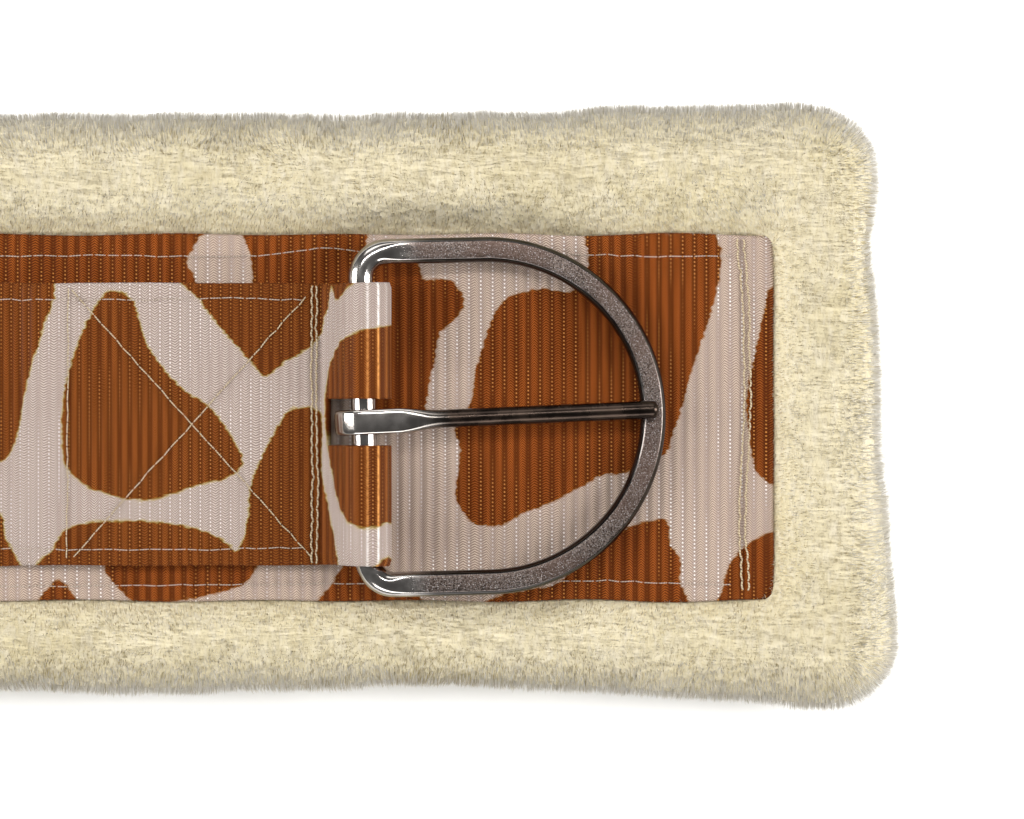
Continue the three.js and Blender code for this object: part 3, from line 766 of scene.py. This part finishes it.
def pile(ob, looks):
    """Short combed fibres all over the pad's outside, each a narrow blade of three faces."""
    me = ob.data
    me.calc_loop_triangles()
    tri = np.empty(len(me.loop_triangles) * 3, np.int32)
    me.loop_triangles.foreach_get("vertices", tri)
    tri = tri.reshape(-1, 3)
    co = points_of(ob)
    normal = np.empty(len(co) * 3)
    me.vertices.foreach_get("normal", normal)
    normal = normal.reshape(-1, 3)
    a, b, c = co[tri[:, 0]], co[tri[:, 1]], co[tri[:, 2]]
    area = np.linalg.norm(np.cross(b - a, c - a), axis=1) / 2
    mid, face_up = (a + b + c) / 3, np.cross(b - a, c - a)[:, 2] / (2 * area + 1e-9)
    covered = (np.abs(mid[:, 1] - BASE["y"]) < 49.4) & (np.abs(mid[:, 0]) < 410) & (mid[:, 2] > 12)
    face_side = face_up > -0.15
    # Each region: its faces, the fibres on a square millimetre, their length and their width.
    regions = {}
    for side, on_side in (("back", mid[:, 1] >= 0), ("front", mid[:, 1] < 0)):
        for end, at_end in (("left", mid[:, 0] < 0), ("right", mid[:, 0] >= 0)):
            regions[f"pile_{side}_{end}"] = (face_side & on_side & at_end, 3.6, 2.1, 0.21)
    regions["pile_under"] = (~face_side, 0.6, 2.5, 0.4)
    for number, (name, (chosen, density, length, width)) in enumerate(regions.items()):
        r = np.random.default_rng(40 + number)
        weight = area * (chosen & ~covered)
        count = int(weight.sum() * density * (1.0))
        pick = np.searchsorted(np.cumsum(weight) / weight.sum(), r.random(count))
        u, v = r.random(count), r.random(count)
        u, v = np.where(u + v > 1, 1 - u, u), np.where(u + v > 1, 1 - v, v)
        mix = lambda q: (q[tri[pick, 0]] * (1 - u - v)[:, None] + q[tri[pick, 1]] * u[:, None]
                         + q[tri[pick, 2]] * v[:, None])
        root, n = mix(co), unit(mix(normal))
        x, y = root[:, 0], root[:, 1]
        flow = np.stack([0.45 * ripple(x, y, 55, 31) + 0.25 * ripple(x, y, 17, 32),
                         0.45 * ripple(x, y, 48, 33) + 0.25 * ripple(x, y, 15, 34), 0 * x], 1)
        lean = 0.75 * (n * (1, 1, 0)) + flow + r.normal(0, 0.08, (count, 3))
        lean -= n * (lean * n).sum(1)[:, None] * 0.8
        long = length * r.normal(1.0, 0.16, count)[:, None] * (1 + 0.10 * ripple(x, y, 12, 35))[:, None]
        long *= 1 - 0.42 * fade(edge_distance(x, y), 5, 14)[:, None]
        rise = unit(n * 0.92 + lean * 0.30)
        fall = unit(n * 0.62 + lean * 0.72, 0.3)
        bend = root + rise * long * 0.55
        tip = bend + fall * long * 0.45
        tip[:, 2] = np.maximum(tip[:, 2], 0.15)
        bend[:, 2] = np.maximum(bend[:, 2], 0.25)
        side = unit(np.cross(rise, n * 0.3 + r.normal(0, 0.5, (count, 3))), 1e-6)
        wide = (width * r.uniform(0.7, 1.15, count))[:, None] / 2
        root = root - n * 0.4
        verts = np.stack([root - side * wide, root + side * wide, bend + side * wide * 0.75,
                          bend - side * wide * 0.75, tip], 1).reshape(-1, 3)
        base = np.arange(count)[:, None] * 5
        faces = np.concatenate([base + (0, 1, 2), base + (0, 2, 3), base + (3, 2, 4)], 1).reshape(-1, 3)
        ridge = edge_distance(x, y) + 2.5 * ripple(x, y, 30, 36) + r.normal(0, 2.5, count)
        middle = fade(ridge, 5, 13) * (1 - fade(ridge, 22, 30))
        middle *= 0.65 + 0.35 * ripple(x, y, 80, 37)
        roll = r.random(count)
        tone = np.where(roll < 0.3 * middle, WARM, CREAM)
        tone = np.where(roll < 0.05 + 0.8 * middle, tone, PALE)
        tone = np.where(roll < 0.05, SHADE, tone)
        # Painted light: fibres on the slope down to the webbing get the lighter inner tone, to lift the shade
        # there.
        inner = 1 - fade(from_webbing(x, y) + r.normal(0, 1.5, count), 1, 9)
        inner *= face_side[pick] if name != "pile_under" else 0
        tone = np.where(r.random(count) < 0.9 * inner, INNER_LIT, tone)
        hair = make(name, verts, faces, looks, tones=np.repeat(tone, 3))
        soft = unit(n + 0.12 * lean)
        hair.data.normals_split_custom_set_from_vertices(np.repeat(soft, 5, axis=0))
        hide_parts("fleece_cover")


# ---- thread

def stitches(name, starts, ends, radius, material, replaced, bow=0.0):
    """Separate stitches, each a short round thread that comes up, runs along, and goes down again."""
    sides = 7
    count = len(starts)
    bow = np.broadcast_to(bow, (count,))
    t = np.array([0.0, 0.07, 0.2, 0.4, 0.6, 0.8, 0.93, 1.0])
    height = radius * np.array([-1.3, -0.2, 0.75, 1.05, 1.05, 0.75, -0.2, -1.3])
    length = np.linalg.norm(ends - starts, axis=1)
    along = (ends - starts) / length[:, None]
    across = unit(np.cross((0, 0, 1), along))
    up = np.cross(along, across)
    middle = (starts[:, None] + (ends - starts)[:, None] * t[None, :, None]
              + up[:, None] * height[None, :, None]
              + across[:, None] * (np.sin(math.pi * t)[None, :, None] * bow[:, None, None]))
    angle = np.arange(sides) * 2 * math.pi / sides
    ring = (across[:, None, None] * np.cos(angle)[None, None, :, None]
            + up[:, None, None] * np.sin(angle)[None, None, :, None]) * radius
    verts = (middle[:, :, None] + ring).reshape(-1, 3)
    one = loop_faces(len(t), sides)
    faces = (one[None] + (np.arange(count) * len(t) * sides)[:, None, None]).reshape(-1, 4)
    ob = make(name, verts, faces, [material])
    s = (np.cumsum(length) - length)[:, None, None] + length[:, None, None] * t[None, :, None]
    s, turn = np.broadcast_arrays(s, (np.arange(sides) / sides)[None, None, :])
    point_values(ob, "weave", np.stack([s.ravel(), turn.ravel(), 0 * s.ravel()], 1))
    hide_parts(replaced)


def run_of(line, pitch, gap, seed, shake=0.12):
    """Stitch ends along a line of points, a little uneven."""
    line = np.asarray(line, float)
    run = np.concatenate([[0.0], np.cumsum(np.linalg.norm(np.diff(line, axis=0), axis=1))])
    count = max(int(run[-1] / pitch), 1)
    r = np.random.default_rng(seed)
    s = np.linspace(0, run[-1], count + 1) + r.normal(0, 0.06 * pitch, count + 1)
    at = lambda d: np.stack([np.interp(d, run, line[:, k]) for k in range(3)], 1)
    nudge = np.zeros((count + 1, 3))
    nudge[:, :2] = r.normal(0, shake, (count + 1, 2))
    return at(s[:-1] + gap / 2) + nudge[:-1], at(s[1:] - gap / 2) + nudge[1:]


def joined_runs(lines, z, seed):
    """Stitch ends along several straight lines at one height."""
    runs = [run_of([(*p, z), (*q, z)], 3.0, 0.35, seed + k) for k, (p, q) in enumerate(lines)]
    return [np.concatenate(part) for part in zip(*runs)]


def strap_heights():
    """Gives a function: the height of the strap's upper face at any distance from the middle."""
    line, _, _ = even_path(strap_path(), 0.5)
    line = line[:int(np.argmax(line[:, 0] > BAR["x"] - 2))]
    return lambda x: np.interp(np.abs(x), line[:, 0], line[:, 1]) + STRAP["thick"] / 2


BOX_LINES = [((218.6, 32.5), (218.2, -40.8)), ((219.3, 32.2), (285.0, -40.9)), ((220.0, -40.4), (283.0, 30.2))]
TACK_LINE = [(285.4, 33.4), (285.2, 10), (285.6, -20), (285.3, -42)]
END_LINE = [(401.2, 46), (402.6, 30), (403.4, 5), (402.4, -14), (401.6, -33), (402.8, -50)]


def seams(fine, heavy):
    top, height_at = BASE["top"] - 0.05, strap_heights()
    x = np.arange(-399.0, 399.1, 3.0)
    pushed_out = 2.2 * np.exp(-((np.abs(x) - 289) / 13) ** 2)  # round the buckle's corner
    drawn_in = 0.9 * fade(np.abs(x), 230, 300)
    for side, y, seed in (("back", 41.4 + pushed_out, 51), ("front", -48.6 + drawn_in, 52)):
        y = y + 0.35 * ripple(x, 0 * x, 90, seed)
        starts, ends = run_of(np.stack([x, y, 0 * x + top], 1), 3.4, 0.45, 61)
        stitches(f"seam_base_{side}", starts, ends, 0.145, fine, f"base_edge_stitch_{side}")
    for row, side in SIDES:
        for end, word in ENDS:
            x = np.arange(20.0, 283.0, 1.5)
            y = STRAP["y"] + row * 33.9 + 0.3 * ripple(x, 0 * x, 70, 53 + row)
            line = np.stack([x * end, y, height_at(x) - 0.05], 1)
            starts, ends = run_of(line, 3.2, 0.4, 62 + row + end)
            stitches(f"seam_strap_{word}_{side}", starts, ends, 0.14, fine, f"strap_edge_stitch_{word}_{side}")
    for end, word in ENDS:
        high = height_at(250) + 0.02
        lines = [[(px * end, py), (qx * end, qy)] for (px, py), (qx, qy) in BOX_LINES]
        stitches(f"seam_box_{word}", *joined_runs(lines, high, 70), 0.17, heavy, f"{word}_box_stitch")
        chain(f"seam_tack_{word}", TACK_LINE, high, 1.0, end, heavy, f"{word}_bar_tack", 80)
        chain(f"seam_end_{word}", END_LINE, top, 1.25, end, heavy, f"{word}_end_stitch", 90)


def chain(name, points, z, spread, end, material, replaced, seed):
    """A double row of looped stitches, like a chain."""
    points = np.asarray(points, float)
    run = np.linspace(0, 1, len(points))
    t = np.linspace(0, 1, 60)
    line = np.stack([np.interp(t, run, points[:, 0]) * end, np.interp(t, run, points[:, 1]), 0 * t + z], 1)
    starts, ends, bows = [], [], []
    for row in (-1, 1):
        moved = line + np.array([row * spread / 2, 0, 0])
        a, b = run_of(moved, 2.9, 0.1, seed + row, 0.16)
        starts.append(a), ends.append(b)
        bows.append(np.full(len(a), 0.32 * row))
    stitches(name, np.concatenate(starts), np.concatenate(ends), 0.26, material, replaced, np.concatenate(bows))


# ---- steel

def on_buckle(points, end, local=None):
    """Points drawn about a buckle's bar, moved to their place at one end of the girth."""
    p = np.asarray(points, float)
    if local is not None:
        c, s = math.cos(local), math.sin(local)
        p = np.stack([p[..., 0] * c - p[..., 1] * s, p[..., 0] * s + p[..., 1] * c + SLOT["y"] - BAR["y"],
                      p[..., 2]], -1)
    ct, st, cs, ss = math.cos(TILT), math.sin(TILT), math.cos(SKEW), math.sin(SKEW)
    x, y, z = p[..., 0] * ct + p[..., 2] * st, p[..., 1], -p[..., 0] * st + p[..., 2] * ct
    x, y = x * cs - y * ss, x * ss + y * cs
    return np.stack([(x + BAR["x"]) * end, y + BAR["y"], z + BAR["z"]], -1)


def loop_path(parts):
    """Joins stretches of path: each gives points and directions, in order, round a closed loop."""
    return np.concatenate([p for p, _ in parts]), np.concatenate([d for _, d in parts])


def bend_part(cx, cy, radius, start, stop, steps):
    a = np.radians(np.linspace(start, stop, steps, endpoint=False))
    turn = np.sign(stop - start)
    return (np.stack([cx + radius * np.cos(a), cy + radius * np.sin(a)], 1),
            np.stack([-np.sin(a) * turn, np.cos(a) * turn], 1))


def line_part(start, stop, steps):
    t = np.linspace(0, 1, steps, endpoint=False)[:, None]
    p = np.array(start) * (1 - t) + np.array(stop) * t
    d = np.array(stop, float) - np.array(start, float)
    return p, np.broadcast_to(d / np.linalg.norm(d), p.shape)


def swept(path, along, section):
    """Points of a section, as pairs of out and up, carried along a flat path."""
    across = np.stack([along[:, 1], -along[:, 0]], 1)
    section = np.broadcast_to(section, (len(path), *section.shape[-2:]))
    return np.concatenate([path[:, None] + across[:, None] * section[..., :1], section[..., 1:]], -1)


# A quarter of the D's section, from its outer side round to the middle of its flat face.
HOOP_SECTION = [(3.4, 0.0), (3.4, 0.9), (3.36, 1.35), (3.22, 1.75), (2.98, 2.12), (2.66, 2.5), (2.42, 2.76),
                (2.26, 2.88), (2.1, 2.92), (1.4, 2.95), (0.7, 2.96), (0.0, 2.96)]


def buckle_hoop(end, word, steel):
    """The D: a round bar and corners that become a flat blasted face between polished bevels."""
    h, c, k = HOOP["half"], HOOP["corner"], HOOP["centre"]
    path, along = loop_path([
        line_part((0, h - c), (0, -h + c), 24), bend_part(c, -h + c, c, 180, 270, 14),
        line_part((c, -h), (k, -h), 48), bend_part(k, 0, h, -90, 90, 96),
        line_part((k, h), (c, h), 48), bend_part(c, h - c, c, 90, 180, 14)])
    quarter = np.array(HOOP_SECTION)
    half = np.concatenate([quarter, (quarter * (-1, 1))[-2:0:-1]])
    section = np.concatenate([half, -half])
    count = len(section)
    turn = np.linspace(0, 2 * math.pi, count, endpoint=False)
    round_section = np.stack([np.cos(turn), np.sin(turn)], 1) * BAR["r"]
    flat = fade(path[:, 0], 3.0, 12.0)[:, None, None]
    shape = round_section[None] * (1 - flat) + section[None] * flat
    faces = loop_faces(len(path), count, closed=True)
    if end > 0:
        faces = faces[:, ::-1]
    verts = on_buckle(swept(path, along, shape), end).reshape(-1, 3)
    ob = make(f"hoop_{word}", verts, faces, [steel], f"{word}_frame")
    face = fade(2.5 - np.abs(section[:, 0]), 0.1, 0.45) * (np.abs(section[:, 1]) > 2.8)
    arm = fade(path[:, 0], 8, 19)[:, None]
    point_values(ob, "flat", (arm * face[None]).ravel())
    # arm tells the material where to put the arms' painted dark reflection.
    point_values(ob, "arm", (arm + 0 * face[None]).ravel())
    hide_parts(f"{word}_buckle_frame")


def buckle_tongue(end, word, steel):
    """One bar of steel: curled round the buckle's bar, then a neck, then a rod that rests on the D."""
    curl = arc(0, 0, 5.9, -15 + 360, 88, 60)
    drop = [(0.2, 5.9), (4, 5.85), (8, 5.6), (13, 5.1), (18, 4.72), (28, 4.45), (40, 4.4), (52, 4.75),
            (62, 5.15), (70, 5.5), (76, 5.74), (79.3, 5.76)]
    line, normal, s = even_path(curl + drop, 0.7)
    x = line[:, 0].copy()
    x[s < 26] = 0.0
    neck = fade(x, 8.5, 21)
    wide = 3.4 * (1 - neck) + 2.42 * neck
    deep = 2.05 * (1 - neck) + 2.36 * neck
    square = (1 - neck) * 0.62
    tip = np.clip((s[-1] - s) / 1.5, 0, 1)
    start = np.clip(s / 0.8, 0, 1)
    shrink = np.minimum(0.55 + 0.45 * np.sqrt(1 - (1 - tip) ** 2), 0.8 + 0.2 * start)
    sides = 32
    a = np.arange(sides) * 2 * math.pi / sides
    ca, sa = np.cos(a), np.sin(a)
    power = 1.0 - square[:, None]
    sx = np.sign(ca)[None] * np.abs(ca)[None] ** power * (wide * shrink)[:, None]
    sz = np.sign(sa)[None] * np.abs(sa)[None] ** power * (deep * shrink)[:, None]
    ring = np.stack([line[:, None, 0] + normal[:, None, 0] * sz, sx + 0 * sz,
                     line[:, None, 1] + normal[:, None, 1] * sz], -1)
    points = ring.reshape(-1, 3)
    rings = len(line)
    caps = np.stack([[line[0, 0], 0, line[0, 1]], [line[-1, 0] + 0.15, 0, line[-1, 1]]])
    verts = np.concatenate([points, caps])
    faces = loop_faces(rings, sides)
    first, last = rings * sides, (rings - 1) * sides
    k = np.arange(0, sides, 2)
    near = np.stack([0 * k + first, (k + 2) % sides, k + 1, k], 1)
    far = np.stack([0 * k + first + 1, last + k, last + k + 1, last + (k + 2) % sides], 1)
    faces = np.concatenate([faces, near, far])
    if end < 0:
        faces = faces[:, ::-1]
    ob = make(f"tongue_{word}", on_buckle(verts, end, TONGUE_SKEW), faces, [steel], f"{word}_tongue")
    # rod: where the tongue's steel is duller and carries its painted dark reflection.
    point_values(ob, "rod", fade(verts[:, 0], 9, 24))
    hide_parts(f"{word}_buckle_tongue")


def dee_ring(side, word, steel):
    """A round wire bent to a D, its straight side held in the cross strap's loop."""
    c, h, st = DEE["corner"], DEE["half"], DEE["straight"]
    path, along = loop_path([
        line_part((-h + c, 0), (h - c, 0), 16), bend_part(h - c, c, c, 270, 360, 10),
        line_part((h, c), (h, st), 5), bend_part(0, st, h, 0, 180, 64),
        line_part((-h, st), (-h, c), 5), bend_part(-h + c, c, c, 180, 270, 10)])
    around = 20
    a = np.arange(around) * 2 * math.pi / around
    wire = np.stack([np.cos(a), np.sin(a)], 1) * DEE["wire"]
    centre = BASE["y"] + side * CROSS_END
    points = swept(path, along, wire) * (1, side, 1) + (0, centre, DEE["z"])
    faces = loop_faces(len(path), around, closed=True)
    if side > 0:
        faces = faces[:, ::-1]
    ob = make(f"dee_{word}", points.reshape(-1, 3), faces, [steel], f"{word}_dee")
    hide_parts(f"{word}_dee_ring")


def cross_strap(look):
    """The short strap over the middle, a loop at each end; gives the height of its upper face."""
    level = BASE["top"] + 2 * GAP + STRAP["thick"] + CROSS["thick"] / 2
    turn = CROSS["inner"] + CROSS["thick"] / 2
    edge = STRAP["width"] / 2 + abs(STRAP["y"] - BASE["y"]) + 1
    low = max(DEE["z"] - turn, BASE["top"] + GAP + CROSS["thick"] / 2)
    half = [(0, level), *ease(CROSS["y"] - 9, level, CROSS_END, DEE["z"] + turn),
            *arc(CROSS_END, DEE["z"], turn, 90, -90, 30), (edge, low)]
    pitch = 2.0
    line, normal, s = even_path(half, pitch / 6)
    line, normal = mirrored(line), mirrored(normal)
    s = np.concatenate([-s[:0:-1], s])
    across = np.asarray(rows_between(-CROSS["width"] / 2, CROSS["width"] / 2, 1.2))
    edge_fade = fade(CROSS["width"] / 2 - np.abs(across), 0.0, 1.2)[None, :]
    ribs = 0.16 * (0.5 + 0.5 * np.cos(2 * math.pi * across / pitch))[None, :]
    thick = (CROSS["thick"] / 2 - 0.05) * (0.5 + 0.5 * edge_fade) - ribs * edge_fade + 0 * s[:, None]
    face = lambda side: np.stack([np.broadcast_to(across, thick.shape),
                                  line[:, :1] + normal[:, :1] * thick * side + BASE["y"],
                                  line[:, 1:] + normal[:, 1:] * thick * side], -1)
    keep = np.ones((len(s) - 1, len(across) - 1), bool)
    ob, on_skin = strip("middle_strap", face, keep, s, across, look, turned=True)
    point_values(ob, "print", on_skin(np.full(thick.shape, -10.0)))  # no print on it
    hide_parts("cross_strap")
    return level + CROSS["thick"] / 2


def cross_seams(top, material):
    half = CROSS["width"] / 2 - 3
    for side, word in SIDES:
        near, far = BASE["y"] + side * 12, BASE["y"] + side * 30
        corners = [(-half, near), (half, near), (half, far), (-half, far), (-half, near)]
        lines = [*zip(corners, corners[1:]), (corners[0], corners[2]), (corners[1], corners[3])]
        stitches(f"seam_cross_{word}", *joined_runs(lines, top, 100), 0.21, material, f"cross_stitch_{word}")


# ---- the girth

def build_girth():
    base_look = webbing_material(
        "printed_webbing", BASE["pitch"], brown=colour(158, 85, 35), brown_dark=colour(70, 31, 11),
        pale=colour(192, 173, 158), pale_dark=colour(130, 110, 96), rim=colour(128, 84, 26),
        dots=1.0, slant=0.9)
    strap_look = webbing_material(
        "printed_strap", STRAP["pitch"], brown=colour(142, 80, 34), brown_dark=colour(76, 38, 15),
        pale=colour(188, 174, 165), pale_dark=colour(122, 106, 97), rim=colour(160, 142, 66),
        dots=0.8, slant=-0.8)
    half_width = BASE["width"] / 2
    rows = rows_between(BASE["y"] - half_width, BASE["y"] + half_width, 2.3)
    base = webbing("webbing_base", base_path(), BASE, base_look, BASE_PATCHES, 3, rows, 0.34)
    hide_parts("base_webbing")

    path = strap_path()
    start = path_distance(path, lambda p: p[:, 0] >= SLOT["start"])
    turn = path_distance(
        path, lambda p: (p[:, 0] >= BAR["x"]) & (p[:, 1] < BAR["z"]) | (p[:, 0] > BAR["x"] + 6.5))
    low, high = SLOT["y"] - SLOT["width"] / 2, SLOT["y"] + SLOT["width"] / 2
    half_width = STRAP["width"] / 2
    rows = rows_between(STRAP["y"] - half_width, STRAP["y"] + half_width, 2.2,
                        (low, high, low - 0.6, high + 0.6))
    strap = webbing("webbing_strap", path, STRAP, strap_look, STRAP_PATCHES, 5, rows, 0.26,
                    (start, turn))
    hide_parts("main_strap")

    fine = thread_material("fine_thread", colour(178, 164, 150), colour(118, 100, 86))
    heavy = thread_material("heavy_thread", colour(190, 174, 144), colour(128, 104, 76))
    seams(fine, heavy)
    cross_seams(cross_strap(strap_look) - 0.03, heavy)

    polished, hoop_steel = polished_material("polished_steel"), hoop_material("hoop_steel")
    rod_steel = rod_material("rod_steel")
    for end, word in ENDS:
        buckle_hoop(end, word, hoop_steel)
        buckle_tongue(end, word, rod_steel)
    for side, word in SIDES:
        dee_ring(side, word, polished)

    pad = fleece_body(fleece_material("fleece", base=colour(210, 199, 168), deep=colour(203, 191, 156),
                                      pale=colour(214, 206, 188)))
    pile(pad, [hair_material(f"pile_{name}", colour(*tone)) for name, tone in PILE_TONES.items()])


# ---- the studio: lengths here are in metres

LENS, SENSOR, SEEN_WIDTH = 125.0, 36.0, 0.2785
AIM = (0.339, -0.0004, 0.026)  # the right-hand buckle's middle
# Each lamp: where it stands, what it points at, its two sizes and its power.
LAMPS = {
    "soft_back": ((0.1, 2.1, 1.35), (0.3, 0, 0), (2.6, 0.9), 19),
    "soft_front": ((0.3, -2.1, 1.2), (0.3, 0, 0), (2.6, 0.8), 33),
    "soft_right": ((2.5, 0.1, 1.1), (0.3, 0, 0), (0.8, 1.8), 69),
    "soft_left": ((-1.9, 0.3, 1.25), (0.3, 0, 0), (0.8, 1.8), 66),
    "strip": ((0.34, 0.46, 1.3), (0.34, 0, 0), (1.0, 0.05), 6.5),
}


def lamp(name, place, aim, size, power):
    light = bpy.data.lights.new(name, "AREA")
    light.shape, light.size, light.size_y = "RECTANGLE", size[0], size[1]
    light.energy = power
    ob = add_object(name, light)
    ob.location = place
    ob.rotation_euler = (Vector(aim) - Vector(place)).to_track_quat("-Z", "Y").to_euler()


def backdrop():
    """White to look at, and only a little light from it."""
    world = bpy.data.worlds.new("studio")
    world.use_nodes = True
    nodes, links = world.node_tree.nodes, world.node_tree.links
    sky = nodes["Background"]
    sky.inputs[0].default_value = (1, 1, 1, 1)
    seen, strength = nodes.new("ShaderNodeLightPath"), nodes.new("ShaderNodeMapRange")
    strength.inputs["To Min"].default_value, strength.inputs["To Max"].default_value = 0.15, 1.0
    links.new(seen.outputs["Is Camera Ray"], strength.inputs["Value"])
    links.new(strength.outputs[0], sky.inputs[1])
    bpy.context.scene.world = world


def studio():
    camera = bpy.data.cameras.new("camera")
    camera.lens, camera.sensor_width = LENS, SENSOR
    camera.clip_start, camera.clip_end = 0.05, 20.0
    eye = add_object("camera", camera)
    eye.location = (AIM[0], AIM[1], AIM[2] + SEEN_WIDTH * LENS / SENSOR)
    bpy.context.scene.camera = eye
    bpy.context.scene.view_settings.view_transform = "Standard"
    look = Shade("floor")
    grain = look.noise(look.place(), 3.0)
    look.set(Base_Color=look.blend(grain, (0.93, 0.93, 0.93), (0.95, 0.95, 0.95)), Roughness=0.9)
    me = bpy.data.meshes.new("floor")
    me.from_pydata([(-2, -2, 0), (2, -2, 0), (2, 2, 0), (-2, 2, 0)], [], [(0, 1, 2, 3)])
    me.materials.append(look.material)
    floor = add_object("floor", me)
    backdrop()
    for name, settings in LAMPS.items():
        lamp(name, *settings)


studio()
build_girth()
